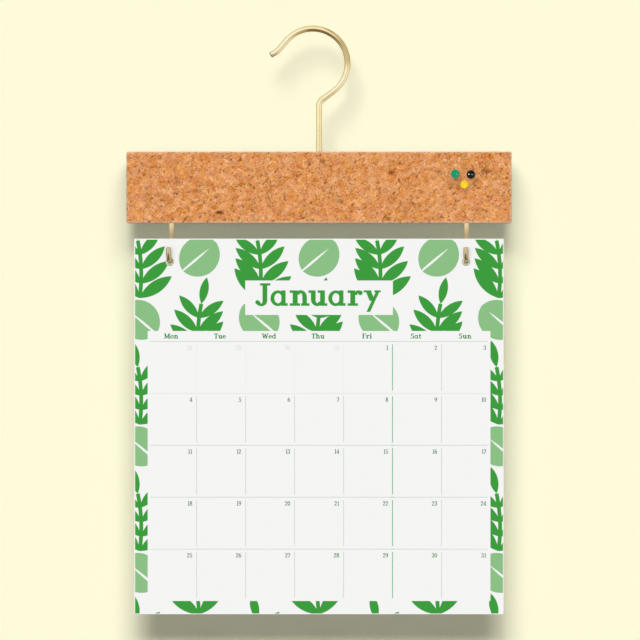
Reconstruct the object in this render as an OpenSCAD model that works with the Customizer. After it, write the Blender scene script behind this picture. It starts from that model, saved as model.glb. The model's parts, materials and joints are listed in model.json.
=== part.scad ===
// Hanging wall calendar: a cork bar on a swivel coat-hanger hook, with two J hooks below it that
// carry a stack of printed month sheets by punched holes, and three round-headed pins in the cork.
// Millimetres. +X right, +Y back towards the wall, +Z up. The origin is on the hook's stem axis,
// on the inside of the bowl where a nail bears.

/* [Cork bar] */
// Reach of the bar past each side of the sheets
bar_over = 4.5; // [0:0.1:40]
// Height of the bar
bar_h = 40.6; // [34:0.1:60]
// Thickness of the bar, front to back
bar_t = 18; // [14:0.5:30]

/* [Hanger hook] */
// Diameter of the hook's wire
hook_wire_d = 3.5; // [2.5:0.1:5]
// Length of stem screwed into the bar
hook_in_bar = 26; // [12:1:30]
// Height of the neck's corner above the bar
neck_h = 28.4; // [15:0.1:50]
// Radius of the neck's bend, at the wire's centre line
neck_r = 4.5; // [3.5:0.1:8]
// Slope of the slanting neck above level, in degrees
neck_slope = 37; // [25:1:50]
// Length of the slant, from the corner to the bowl
slant_l = 10.4; // [7:0.1:20]
// Radius of the bowl, at the wire's centre line
bowl_r = 19.8; // [14:0.1:30]
// End of the bowl, in degrees round from level right
bowl_end = 140; // [110:1:165]
// Straight length between the bowl and the turned-out tip
lead_l = 5.5; // [1:0.1:12]
// Radius of the turned-out tip
tip_r = 12; // [6:0.5:30]
// Angle that the tip turns outwards
tip_turn = 24; // [5:1:45]
// Straight length of the tip's end
tip_l = 1; // [0.5:0.1:5]

/* [J hooks] */
// Diameter of the J hooks' wire
cup_wire_d = 2.8; // [2:0.1:4]
// Length of shank screwed into the bar
cup_in_bar = 13; // [8:0.5:20]
// Length of shank from the bar down to the bend
cup_shank_l = 16.6; // [12:0.1:30]
// Radius of the bend, at the wire's centre line
cup_r = 5; // [4.5:0.1:9]
// Rise of the tip above the bend
cup_tip_l = 2.9; // [1:0.1:6]
// Turn of the left hook about its shank, as it was screwed in
left_turn = -9; // [-20:1:20]
// Turn of the right hook about its shank
right_turn = -3; // [-20:1:20]

/* [Sheets] */
// Width of a sheet
page_w = 210; // [180:1:297]
// Height of a sheet
page_h = 213.4; // [180:0.1:300]
// Number of sheets: a cover and the months
sheet_count = 13; // [7:1:14]
// Thickness of one sheet of card
sheet_t = 0.22; // [0.1:0.01:0.24]
// Diameter of the punched holes
hole_d = 5; // [4.5:0.1:8]
// Distance of the shanks from the sheet's side edges
hole_side = 21; // [12:0.5:40]
// Distance of the holes' centres from the sheet's top edge
hole_top = 13.1; // [8:0.1:16]

/* [Print] */
// Thickness of the ink
ink_t = 0.1; // [0.05:0.01:0.15]
// Unprinted edge of the sheet
trim = 0.4; // [0.2:0.1:5]
// Height of the printed header
header_h = 52.3; // [45:0.1:80]
// Width of the printed border beside and below the calendar panel
border_w = 7.5; // [5:0.1:15]
// Width of the title's white panel
title_w = 84; // [60:1:120]
// Height of the title's white panel
title_h = 19.6; // [14:0.1:24]
// Distance of the title's panel above the calendar panel
title_up = 9.1; // [4:0.1:16]
// Height of the row of weekday names
names_h = 6; // [4:0.1:10]
// Number of week rows
weeks = 5; // [4:1:6]
// Width of a ruled line
rule_w = 0.3; // [0.2:0.05:0.6]
// Width of the line before the weekend
weekend_rule_w = 0.5; // [0.2:0.05:0.8]
// Gap between the upright rules and the level ones
rule_gap = 1.6; // [0.5:0.1:4]
// Length of a sprig's leaf
leaf_l = 22; // [12:0.5:24]
// Width of a sprig's leaf
leaf_w = 7; // [4:0.1:8]
// Length of a broad leaf
broad_l = 25; // [16:0.5:32]
// Width of a broad leaf
broad_w = 22; // [10:0.5:22]
// Space between a sprig and the broad leaves above and below it
motif_gap = 0.5; // [0.5:0.1:20]
// Space between a sprig's widest leaves and the broad leaf in the next column
column_gap = 4.2; // [1:0.1:20]

/* [Pins] */
// Diameter of a pin's round head
pin_head_d = 5; // [4:0.1:8]
// Diameter of a pin's needle
needle_d = 0.9; // [0.6:0.1:1.2]
// Length of needle in the cork
needle_in_bar = 10; // [6:0.5:12]
// Length of needle moulded into the head
needle_in_head = 3; // [2:0.1:3.5]
// Distance of the black pin from the bar's right end
black_pin_in = 23.3; // [10:0.1:60]
// Height of the black pin above the bar's middle
black_pin_up = 7.3; // [-2:0.1:12]
// Space between the green pin's head and the black one
green_pin_gap = 3.9; // [0.5:0.1:20]
// Direction of the green pin from the black one, in degrees above level left
green_pin_rise = 2; // [0:1:40]
// Space between the yellow pin's head and the black one
yellow_pin_gap = 1.7; // [0.5:0.1:6]
// Direction of the yellow pin from the black one, in degrees below level left
yellow_pin_fall = 58; // [45:1:120]

/* [Fits] */
// Radial clearance of the hook's stem, which turns in the bar
swivel_clear = 0.05; // [0.02:0.01:0.1]
// Radial clearance of the fixed shanks and needles in the bar
seat_clear = 0.03; // [0.01:0.01:0.1]
// Space left at the bottom of each bore, and between a pin's head and the cork
end_clear = 0.3; // [0.1:0.1:1]
// Space between the top of a punched hole and the wire in it
hang_clear = 0.25; // [0.15:0.05:0.5]

/* [Hidden] */
$fn = 96;

brass = "#D9BE7A";
cork = "#D9A066";
paper = "#F5F5F3";
dark_green = "#3A9B3B";
pale_green = "#8BC085";
rule_green = "#A9CDB0";
steel = "#B9BCC0";
days = 7;
weekend_after = 5;
point_l = 3;
point_taper = 4;
end_chamfer = 0.6;
wire_lap = 0.05;
wire_slim = 0.02;
overcut = 1;

// Hook heights, measured from the bar's top: the stem's corner, the slant, then the bowl's centre
neck_turn = 90 - neck_slope;
neck_tangent = neck_r * tan(neck_turn / 2);
bowl_x = slant_l * cos(neck_slope) - bowl_r * sin(neck_slope);
bowl_up = neck_h + slant_l * sin(neck_slope) + bowl_r * cos(neck_slope);
bowl_in_r = bowl_r - hook_wire_d / 2;
bearing_up = bowl_up + sqrt(bowl_in_r ^ 2 - bowl_x ^ 2);

// The bar, and heights in the part's own frame
bar_w = page_w + 2 * bar_over;
bar_top = -bearing_up;
bar_bottom = bar_top - bar_h;
bar_middle = bar_top - bar_h / 2;
bend_z = bar_bottom - cup_shank_l;
shank_x = page_w / 2 - hole_side;

// The stack hangs in the middle of the J hooks' bends
pages_t = sheet_count * sheet_t;
pages_y = -cup_r;
page_front = pages_y - pages_t / 2;
cup_in_r = cup_r - cup_wire_d / 2;
hole_z = bend_z - sqrt(cup_in_r ^ 2 - (pages_t / 2) ^ 2) + hang_clear - hole_d / 2;
page_top = hole_z + hole_top;
hole_x = [-shank_x + cup_r * sin(left_turn), shank_x + cup_r * sin(right_turn)];

// Places of the pins on the bar's front face
black_pin = [bar_w / 2 - black_pin_in, bar_middle + black_pin_up];
function beside_black(gap, rise) = black_pin + (pin_head_d + gap) * [-cos(rise), sin(rise)];
green_pin = beside_black(green_pin_gap, green_pin_rise);
yellow_pin = beside_black(yellow_pin_gap, -yellow_pin_fall);

// Layout of the print, from the middle of the sheet's top edge
panel_w = page_w - 2 * border_w;
panel_h = page_h - header_h - border_w;
column_w = panel_w / days;
row_h = (panel_h - names_h) / weeks;
stem_w = 2.2;
stem_r = 95;
leaf_pairs = 4;
leaf_step = 8.2;
leaf_spread = 48;
leaf_taper = 0.3;
sprig_lean = 8;
broad_lean = -50;
broad_lift = -0.6;
vein_w = 1.4;
vein_drop = 0.2;

// The pattern's repeat: a sprig and a broad leaf, one above the other, and the next column
sprig_h = leaf_step * leaf_pairs + leaf_l * (1 - leaf_taper);
broad_r = leaf_radius(broad_l, broad_w);
broad_half_h = broad_r - (broad_r - broad_w / 2) * sin(abs(broad_lean));
broad_half_w = broad_r - (broad_r - broad_w / 2) * cos(broad_lean);
repeat_h = sprig_h + 2 * (broad_half_h + motif_gap);
repeat_w = leaf_l * sin(leaf_spread + sprig_lean) + broad_half_w + column_gap;

// One bent wire: legs are ["straight", length] or ["bend", radius, angle], run along +Z, and the
// first and the last are straight. A positive angle bends towards +X. Each bend is drawn a hair
// slimmer and its straight neighbours lap over its ends, so that they join cleanly.
module wire(d, legs, i = 0) {
  if (i < len(legs)) {
    leg = legs[i];
    if (leg[0] == "straight") {
      start = i == 0 ? 0 : -wire_lap;
      end = i == len(legs) - 1 ? leg[1] : leg[1] + wire_lap;
      translate([0, 0, start]) cylinder(d = d, h = end - start);
      translate([0, 0, leg[1]]) wire(d, legs, i + 1);
    } else {
      r = leg[1];
      a = abs(leg[2]);
      side = sign(leg[2]);
      rotate([0, 0, side > 0 ? 0 : 180]) translate([r, 0, 0]) rotate([90, 0, 180])
        rotate_extrude(angle = a) translate([r, 0]) circle(d = d - wire_slim);
      translate([side * r * (1 - cos(a)), 0, r * sin(a)]) rotate([0, side * a, 0])
        wire(d, legs, i + 1);
    }
  } else {
    cylinder(d1 = d, d2 = d - 2 * end_chamfer, h = end_chamfer);
  }
}

// The pointed end of a screwed-in shank, below the origin
module screw_point(d) {
  translate([0, 0, -point_l]) cylinder(d1 = d / point_taper, d2 = d, h = point_l);
}

module hanger_hook() {
  color(brass) translate([0, 0, bar_top - hook_in_bar]) {
    translate([0, 0, point_l]) screw_point(hook_wire_d);
    translate([0, 0, point_l]) wire(hook_wire_d, [
      ["straight", hook_in_bar - point_l + neck_h - neck_tangent],
      ["bend", neck_r, neck_turn],
      ["straight", slant_l - neck_tangent],
      ["bend", bowl_r, -(neck_turn + bowl_end)],
      ["straight", lead_l],
      ["bend", tip_r, tip_turn],
      ["straight", tip_l]]);
  }
}

// A J hook at its shank's place, opening to the front and turned by an angle about its shank
module cup_hook(x, turn) {
  color(brass) translate([x, 0, bar_bottom + cup_in_bar]) rotate([180, 0, turn - 90])
    translate([0, 0, point_l]) {
      screw_point(cup_wire_d);
      wire(cup_wire_d, [
        ["straight", cup_in_bar - point_l + cup_shank_l],
        ["bend", cup_r, 180],
        ["straight", cup_tip_l - end_chamfer]]);
    }
}

module left_cup_hook() { cup_hook(-shank_x, left_turn); }

module right_cup_hook() { cup_hook(shank_x, right_turn); }

// Where a pin enters the bar's front face
function pin_place(at) = [at[0], -bar_t / 2, at[1]];

module cork_bar() {
  color(cork) difference() {
    translate([-bar_w / 2, -bar_t / 2, bar_bottom]) cube([bar_w, bar_t, bar_h]);
    translate([0, 0, bar_top - hook_in_bar - end_clear])
      cylinder(d = hook_wire_d + 2 * swivel_clear, h = hook_in_bar + end_clear + overcut);
    for (side = [-1, 1]) translate([side * shank_x, 0, bar_bottom - overcut])
      cylinder(d = cup_wire_d + 2 * seat_clear, h = cup_in_bar + end_clear + overcut);
    for (at = [green_pin, black_pin, yellow_pin])
      translate(pin_place(at)) rotate([-90, 0, 0]) translate([0, 0, -overcut])
        cylinder(d = needle_d + 2 * seat_clear, h = needle_in_bar + end_clear + overcut);
  }
}

module calendar_pages() {
  color(paper) difference() {
    translate([-page_w / 2, page_front, page_top - page_h]) cube([page_w, pages_t, page_h]);
    for (x = hole_x) translate([x, page_front - overcut, hole_z]) rotate([-90, 0, 0])
      cylinder(d = hole_d, h = pages_t + 2 * overcut);
  }
}

// Stands flat artwork, drawn from the middle of the sheet's top edge, on the front sheet
module on_sheet() {
  translate([0, page_front, page_top]) rotate([90, 0, 0]) linear_extrude(ink_t) children();
}

// The field of the pattern: the sheet without its trim, panels and holes
module pattern_field() {
  difference() {
    translate([trim - page_w / 2, trim - page_h]) square([page_w - 2 * trim, page_h - 2 * trim]);
    translate([-panel_w / 2, border_w - page_h]) square([panel_w, panel_h]);
    translate([-title_w / 2, title_up - header_h]) square([title_w, title_h]);
    for (x = hole_x) translate([x, hole_z - page_top]) circle(d = hole_d);
  }
}

// A pointed leaf along +Y: the overlap of two circles
function leaf_radius(l, w) = (l ^ 2 + w ^ 2) / (4 * w);

module leaf(l, w) {
  r = leaf_radius(l, w);
  intersection() {
    translate([r - w / 2, l / 2]) circle(r);
    translate([w / 2 - r, l / 2]) circle(r);
  }
}

// A sprig: a curved stem with leaves in pairs that shorten towards its end, where one stands alone
module sprig() {
  step = leaf_step / stem_r * 180 / PI;
  last = step * leaf_pairs;
  translate([stem_r, 0]) intersection() {
    difference() {
      circle(stem_r + stem_w / 2, $fn = 360);
      circle(stem_r - stem_w / 2, $fn = 360);
    }
    polygon([[0, 0], [-2 * stem_r, 0], [-2 * stem_r * cos(last), 2 * stem_r * sin(last)]]);
  }
  for (i = [0:leaf_pairs]) {
    share = 1 - leaf_taper * i / leaf_pairs;
    translate([stem_r * (1 - cos(i * step)), stem_r * sin(i * step)]) rotate(-i * step)
      for (turn = i < leaf_pairs ? [-leaf_spread, leaf_spread] : [0])
        rotate(turn) leaf(share * leaf_l, share * leaf_w);
  }
}

// A broad leaf with an open midrib, centred
module broad_leaf() {
  translate([0, -broad_l / 2]) difference() {
    leaf(broad_l, broad_w);
    translate([0, -vein_drop * broad_l]) leaf(broad_l, vein_w);
  }
}

// Is a motif's circle at least partly outside the calendar panel?
function shows(p, reach) = abs(p[0]) + reach > panel_w / 2 || p[1] + reach > -header_h
  || p[1] - reach < border_w - page_h;

// Half-drop repeat: sprigs and broad leaves take turns up each column, and every other column
// stands half a repeat lower and leans the other way
columns = ceil(page_w / repeat_w / 2);
rows = ceil(page_h / repeat_h);
function odd(column) = abs(column) % 2;
function foot(column, row) = [column * repeat_w, (rows - row - odd(column) / 2) * repeat_h - page_h];

module leaf_print() {
  half = leaf_step * leaf_pairs / 2;
  color(dark_green) on_sheet() for (column = [-columns:columns]) for (row = [0:rows]) {
    if (shows(foot(column, row) + [0, half + leaf_l / 2], half + leaf_l)) intersection() {
      translate(foot(column, row)) mirror([odd(column), 0]) rotate(sprig_lean) sprig();
      pattern_field();
    }
  }
}

module broad_leaf_print() {
  middle = [0, (sprig_h + repeat_h) / 2 + broad_lift];
  color(pale_green) on_sheet() for (column = [-columns:columns]) for (row = [0:rows]) {
    if (shows(foot(column, row) + middle, broad_l / 2)) intersection() {
      translate(foot(column, row) + middle) mirror([odd(column), 0]) rotate(broad_lean) broad_leaf();
      pattern_field();
    }
  }
}

// Ruled lines: level ones above each week, upright ones between the days of a week
module grid_print() {
  left = -panel_w / 2;
  top = -header_h - names_h;
  color(rule_green) on_sheet() for (week = [0:weeks - 1]) {
    translate([left + rule_gap, top - week * row_h - rule_w / 2])
      square([panel_w - 2 * rule_gap, rule_w]);
    for (day = [1:days - 1]) {
      w = day == weekend_after ? weekend_rule_w : rule_w;
      translate([left + day * column_w - w / 2, top - (week + 1) * row_h + rule_gap])
        square([w, row_h - 2 * rule_gap]);
    }
  }
}

module pin_needle(at) {
  color(steel) translate(pin_place(at)) rotate([-90, 0, 0]) {
    translate([0, 0, -end_clear - needle_in_head])
      cylinder(d = needle_d, h = end_clear + needle_in_head + needle_in_bar - point_l);
    translate([0, 0, needle_in_bar - point_l])
      cylinder(d1 = needle_d, d2 = needle_d / point_taper, h = point_l);
  }
}

module pin_head(at, shade) {
  color(shade) translate(pin_place(at)) rotate([-90, 0, 0]) difference() {
    translate([0, 0, -end_clear - pin_head_d / 2]) sphere(d = pin_head_d);
    translate([0, 0, -end_clear - needle_in_head])
      cylinder(d = needle_d, h = needle_in_head + overcut);
  }
}

module green_pin_head() { pin_head(green_pin, "#12A17B"); }
module black_pin_head() { pin_head(black_pin, "#16171A"); }
module yellow_pin_head() { pin_head(yellow_pin, "#F7CF1D"); }
module green_pin_needle() { pin_needle(green_pin); }
module black_pin_needle() { pin_needle(black_pin); }
module yellow_pin_needle() { pin_needle(yellow_pin); }

hanger_hook();
cork_bar();
left_cup_hook();
right_cup_hook();
calendar_pages();
leaf_print();
broad_leaf_print();
grid_print();
green_pin_head();
black_pin_head();
yellow_pin_head();
green_pin_needle();
black_pin_needle();
yellow_pin_needle();
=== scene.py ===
# %% [markdown]
# # A hanging wall calendar
# A cork bar hangs from a coat-hanger hook, and two small brass hooks under it carry a stack of printed
# month sheets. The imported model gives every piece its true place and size, so this lesson only dresses
# it: each wire, the cork, the sheets and the pins are modelled again with the detail that the eye
# expects, and each surface gets a finish that is worked out from what the real material is.

# %% Load the frame
import json
import math
import random

import bpy
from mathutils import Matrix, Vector


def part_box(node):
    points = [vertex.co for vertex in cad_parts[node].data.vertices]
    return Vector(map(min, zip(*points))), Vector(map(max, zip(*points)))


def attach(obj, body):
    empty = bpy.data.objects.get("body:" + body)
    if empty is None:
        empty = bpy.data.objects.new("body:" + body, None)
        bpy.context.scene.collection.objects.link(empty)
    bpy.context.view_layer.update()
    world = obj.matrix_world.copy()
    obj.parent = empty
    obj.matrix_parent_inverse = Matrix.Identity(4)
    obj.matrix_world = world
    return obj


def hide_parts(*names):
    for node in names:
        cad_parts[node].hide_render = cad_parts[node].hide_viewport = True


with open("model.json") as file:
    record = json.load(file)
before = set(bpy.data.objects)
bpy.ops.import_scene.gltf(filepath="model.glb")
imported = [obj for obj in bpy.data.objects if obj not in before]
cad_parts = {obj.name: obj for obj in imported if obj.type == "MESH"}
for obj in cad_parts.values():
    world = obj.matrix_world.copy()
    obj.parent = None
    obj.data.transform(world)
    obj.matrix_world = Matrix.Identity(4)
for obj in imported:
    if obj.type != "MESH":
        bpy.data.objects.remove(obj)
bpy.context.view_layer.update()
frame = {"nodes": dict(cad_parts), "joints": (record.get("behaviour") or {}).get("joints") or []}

MM = 0.001
bar_low, bar_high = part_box("cork_bar")
page_low, page_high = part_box("calendar_pages")
joint_at = {joint["name"]: Vector(joint["pos_m"]) for joint in frame["joints"]}
bar_middle = (bar_low + bar_high) / 2
print("bar", bar_high - bar_low, "sheets", page_high - page_low)

# %% [markdown]
# ## Where the picture is taken from
# The calendar is seen square on, as on a copy stand, and a long lens keeps its edges parallel. The
# distance follows from the lens and from how many millimetres of the sheet's plane fill the square
# picture, so the object keeps its true size in it.

# %% Camera
FRAME_WIDTH = 364 * MM
FRAME_CENTRE = (0.54 * MM, -163.9 * MM)
LENS = 500
SENSOR = 36

camera_data = bpy.data.cameras.new("copy stand camera")
camera_data.lens = LENS
camera_data.sensor_width = SENSOR
camera = bpy.data.objects.new("copy stand camera", camera_data)
bpy.context.scene.collection.objects.link(camera)
bpy.context.scene.camera = camera
distance = FRAME_WIDTH * LENS / SENSOR
camera.location = (FRAME_CENTRE[0], page_low.y - distance, FRAME_CENTRE[1])
camera.rotation_euler = (math.radians(90), 0, 0)
bpy.context.scene.view_settings.view_transform = "Standard"
print("camera", round(distance, 3), "m in front of the sheets")

# %% [markdown]
# ## Two helpers for finishes
# Colours are easiest to compare with a screen as sRGB hex values, but a shader works in linear light,
# so one function turns the first into the second. The other adds a node, sets it up and wires its
# inputs: a number or colour is set on the socket itself, and another node's output is linked to it.

# %% Colour and node helpers
def linear(hex_code):
    """The linear RGBA of an sRGB hex colour."""
    parts = [int(hex_code[i:i + 2], 16) / 255 for i in (1, 3, 5)]
    return [p / 12.92 if p <= 0.04045 else ((p + 0.055) / 1.055) ** 2.4 for p in parts] + [1]


def add_node(tree, kind, inputs=None, stops=(), **settings):
    """Add a node with its settings, its colour stops and its inputs, which are values or outputs."""
    made = tree.nodes.new(kind)
    for name, value in settings.items():
        setattr(made, name, value)
    for place, (position, hex_code) in enumerate(stops):
        ramp = made.color_ramp.elements
        stop = ramp[place] if place < len(ramp) else ramp.new(position)
        stop.position = position
        stop.color = linear(hex_code)
    for name, value in (inputs or {}).items():
        if isinstance(value, bpy.types.NodeSocket):
            tree.links.new(value, made.inputs[name])
        else:
            made.inputs[name].default_value = value
    return made


def new_finish(name):
    """A new material with its node tree and its main shader."""
    material = bpy.data.materials.new(name)
    material.use_nodes = True
    return material, material.node_tree, material.node_tree.nodes["Principled BSDF"]


print("a mid grey on the screen is", round(linear("#808080")[0], 3), "in linear light")

# %% [markdown]
# ## Brass
# Coat-hanger wire is drawn through a die, brass plated and lacquered. Drawing leaves faint marks and the
# lacquer softens them, so the metal mirrors the room with slightly blurred edges. The metal's colour is
# its reflection, so it is set as a base colour with full metallic. Reflections are also painted into
# that colour from place to place: a painted highlight makes the arm and the foot of the bowl pale, a
# painted dark reflection browns the bowl's shoulder, and painted brown reflections and shade darken the J
# hooks down to their bends. A noise of a few millimetres lets the tone drift along the wire, and a finer
# one varies the polish.

# %% Brass finish
# Most values of a noise lie in this span.
NOISE_SPAN = {"From Min": 0.3, "From Max": 0.7}
BRASS_DRIFT = 6 * MM
TONE_DRIFT = (0.97, 1.02)
DRAW_MARKS = 0.5 * MM
MARK_DEPTH = 0.05 * MM
BRASS_POLISH = (0.13, 0.24)
BRASS = "#F9EBC0"
# The tone of the painted highlight, and of the painted dark reflection at the bowl's shoulder.
HIGHLIGHT_BRASS = "#FEF5DA"
DARK_REFLECTION_BRASS = "#D7C598"
# Each pair is where a painted change of tone starts and where it is complete: the highlight along X, the
# dark reflection away from the shoulder, and the painted tones below the bowl down along Z.
ARM_HIGHLIGHT_SPAN = (-6 * MM, -18 * MM)
DARK_REFLECTION_REACH = (12 * MM, 6 * MM)
BOWL_FOOT = (-18 * MM, -27 * MM)
SHOULDER = (15 * MM, 0, -10.3 * MM)
# The painted tone of the wire at heights below the bowl, in mm, down to the bends of the J hooks: a pale
# highlight on the stem, and brown reflections and shade on the J hooks, darkest at their bends.
PAINTED_REFLECTIONS_DOWN = [(-27, "#FEF5DA"), (-44, "#FBEFC9"), (-110, "#EEDDBA"), (-115.6, "#BCA78B"), (-123, "#D8C8A8"),
              (-129.5, "#CDBD9A"), (-131.8, "#9C8D73")]


def brass_finish():
    """Plated and lacquered wire: a pale yellow mirror with soft, uneven polish, with a painted highlight and
    painted dark reflections set by place.
    """
    material, tree, shader = new_finish("lacquered brass wire")
    place = add_node(tree, "ShaderNodeTexCoord").outputs["Object"]
    drift = add_node(tree, "ShaderNodeTexNoise", {"Vector": place, "Scale": 1 / BRASS_DRIFT, "Detail": 3})
    marks = add_node(tree, "ShaderNodeTexNoise", {"Vector": place, "Scale": 1 / DRAW_MARKS, "Detail": 4})
    axes = add_node(tree, "ShaderNodeSeparateXYZ", {0: place})
    # Painted highlight: the wire is paler towards the arm, along -X.
    arm_highlight = add_node(tree, "ShaderNodeMapRange", {"Value": axes.outputs["X"], "From Min": ARM_HIGHLIGHT_SPAN[0],
                                                "From Max": ARM_HIGHLIGHT_SPAN[1]})
    with_highlight = add_node(tree, "ShaderNodeMix", {0: arm_highlight.outputs[0], 6: linear(BRASS), 7: linear(HIGHLIGHT_BRASS)},
                     data_type="RGBA")
    # Painted dark reflection: the wire is browner near the bowl's shoulder.
    away = add_node(tree, "ShaderNodeVectorMath", {0: place, 1: SHOULDER}, operation="DISTANCE")
    dark_reflection = add_node(tree, "ShaderNodeMapRange", {"Value": away.outputs["Value"], "From Min": DARK_REFLECTION_REACH[0],
                                                 "From Max": DARK_REFLECTION_REACH[1]})
    with_dark_reflection = add_node(tree, "ShaderNodeMix", {0: dark_reflection.outputs[0], 6: with_highlight.outputs[2],
                                               7: linear(DARK_REFLECTION_BRASS)}, data_type="RGBA")
    lower = add_node(tree, "ShaderNodeMapRange", {"Value": axes.outputs["Z"], "From Min": BOWL_FOOT[0],
                                                  "From Max": BOWL_FOOT[1]})
    # Painted reflections and shade below the bowl, set by height.
    bottom = PAINTED_REFLECTIONS_DOWN[-1][0]
    down = add_node(tree, "ShaderNodeMapRange", {"Value": axes.outputs["Z"], "From Max": bottom * MM})
    reflection_tones = add_node(tree, "ShaderNodeValToRGB", {"Fac": down.outputs[0]},
                     stops=[(height / bottom, tone) for height, tone in PAINTED_REFLECTIONS_DOWN])
    metal = add_node(tree, "ShaderNodeMix", {0: lower.outputs[0], 6: with_dark_reflection.outputs[2],
                                             7: reflection_tones.outputs[0]}, data_type="RGBA")
    change = add_node(tree, "ShaderNodeMapRange", {"Value": drift.outputs[0], **NOISE_SPAN,
                                                   "To Min": TONE_DRIFT[0], "To Max": TONE_DRIFT[1]})
    colour = add_node(tree, "ShaderNodeHueSaturation", {"Color": metal.outputs[2],
                                                        "Value": change.outputs[0]})
    polish = add_node(tree, "ShaderNodeMapRange", {"Value": marks.outputs[0], **NOISE_SPAN,
                                                   "To Min": BRASS_POLISH[0], "To Max": BRASS_POLISH[1]})
    relief = add_node(tree, "ShaderNodeBump", {"Height": marks.outputs[0], "Strength": 0.04,
                                               "Distance": MARK_DEPTH})
    tree.links.new(colour.outputs[0], shader.inputs["Base Color"])
    tree.links.new(polish.outputs[0], shader.inputs["Roughness"])
    tree.links.new(relief.outputs[0], shader.inputs["Normal"])
    shader.inputs["Metallic"].default_value = 1
    return material


def cut_steel_shade_finish():
    """The dull steel core of plated wire, bare where the wire was cut off, with a painted dark reflection in
    its colour.
    """
    material, tree, shader = new_finish("dark cut steel")
    place = add_node(tree, "ShaderNodeTexCoord").outputs["Object"]
    burr = add_node(tree, "ShaderNodeTexNoise", {"Vector": place, "Scale": 1 / DRAW_MARKS, "Detail": 2})
    # Painted dark reflection: the bare cut face is coloured near black brown.
    tone = add_node(tree, "ShaderNodeValToRGB", {"Fac": burr.outputs[0]},
                    stops=[(0.3, "#2E281C"), (0.7, "#6E6146")])
    tree.links.new(tone.outputs[0], shader.inputs["Base Color"])
    shader.inputs["Roughness"].default_value = 0.6
    return material


brass = brass_finish()
cut_steel_shaded = cut_steel_shade_finish()
print("finishes", brass.name, "and", cut_steel_shaded.name)

# %% [markdown]
# ## Bent brass wire
# The hook and the two small J hooks are lengths of drawn brass wire, bent round pegs and cut off. One
# function bends any of them as a hand would: a ring of points at the start is extruded along each
# straight leg and spun round the peg's centre at each bend, and the cut end gets a small rounded edge.
# A curve with a round bevel would do too, but a bend made with Spin is a true arc.

# %% Wire bender
RING_POINTS = 40
BEND_STEP = math.radians(3)
POINT_LENGTH = 3 * MM
POINT_TAPER = 4
CUT_EDGE = 0.45 * MM
CUT_EDGE_STEPS = 6
SAME_POINT = 0.001 * MM
WIRE_CREASE = math.radians(17)


def start_editing(piece):
    """Select one piece alone, go into edit mode and select all of it."""
    bpy.ops.object.select_all(action="DESELECT")
    piece.select_set(True)
    bpy.context.view_layer.objects.active = piece
    bpy.ops.object.mode_set(mode="EDIT")
    bpy.ops.mesh.select_all(action="SELECT")


def bend_wire(name, diameter, legs, heading, end_finish):
    """Bend a wire in the XZ plane from a point at the origin: legs are (length,) or (radius, angle)."""
    bpy.ops.object.select_all(action="DESELECT")
    bpy.ops.mesh.primitive_circle_add(vertices=RING_POINTS, radius=diameter / 2 / POINT_TAPER,
                                      fill_type="NGON")
    wire = bpy.context.object
    wire.name = wire.data.name = name
    wire.data.materials.append(brass)
    wire.data.materials.append(end_finish)
    start_editing(wire)
    at = Vector((0, 0, POINT_LENGTH * math.cos(heading)))
    bpy.ops.mesh.extrude_region_move(TRANSFORM_OT_translate={"value": at})
    bpy.ops.transform.resize(value=(POINT_TAPER, POINT_TAPER, 1), center_override=at)
    for leg in legs:
        if len(leg) == 1:
            step = leg[0] * Vector((math.sin(heading), 0, math.cos(heading)))
            bpy.ops.mesh.extrude_region_move(TRANSFORM_OT_translate={"value": step})
            at = at + step
        else:
            radius, angle = leg
            across = math.copysign(radius, angle)
            centre = at + across * Vector((math.cos(heading), 0, -math.sin(heading)))
            steps = max(2, round(abs(angle) / BEND_STEP))
            bpy.ops.mesh.spin(steps=steps, angle=-angle, center=centre, axis=(0, 1, 0))
            heading = heading + angle
            at = centre - across * Vector((math.cos(heading), 0, -math.sin(heading)))
    bpy.ops.mesh.bevel(offset=CUT_EDGE, segments=CUT_EDGE_STEPS)
    wire.active_material_index = 1
    bpy.ops.object.material_slot_assign()
    bpy.ops.mesh.select_all(action="SELECT")
    bpy.ops.mesh.remove_doubles(threshold=SAME_POINT)
    bpy.ops.mesh.normals_make_consistent(inside=False)
    bpy.ops.object.mode_set(mode="OBJECT")
    bpy.ops.object.shade_smooth_by_angle(angle=WIRE_CREASE)
    return wire


def settle(piece, place, turn=0):
    """Turn a finished piece about Z, move it to its place, and put both into its mesh."""
    bpy.ops.object.select_all(action="DESELECT")
    piece.select_set(True)
    bpy.context.view_layer.objects.active = piece
    piece.rotation_euler.z = turn
    piece.location = place
    bpy.ops.object.transform_apply(location=True, rotation=True, scale=True)
    print(piece.name, [round(size / MM, 1) for size in piece.dimensions], len(piece.data.polygons), "faces")


print("a right angle is bent in", round(math.radians(90) / BEND_STEP), "steps")

# %% [markdown]
# ## The hanger hook
# The hook's stem stands in the bar, its neck leans over to one side and the bowl comes back above the
# stem, so that the bar hangs level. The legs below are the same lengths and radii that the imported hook
# has, and the finished wire takes its place.

# %% Hanger hook
HOOK_WIRE = 3.5 * MM
HOOK_IN_BAR = 26 * MM
NECK_HEIGHT = 28.4 * MM
NECK_RADIUS = 4.5 * MM
NECK_SLOPE = math.radians(37)
SLANT = 10.4 * MM
BOWL_RADIUS = 19.78 * MM
BOWL_END = math.radians(140)
LEAD = 5.5 * MM
TIP_RADIUS = 12 * MM
TIP_TURN = math.radians(24)
TIP = 1.6 * MM

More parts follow.
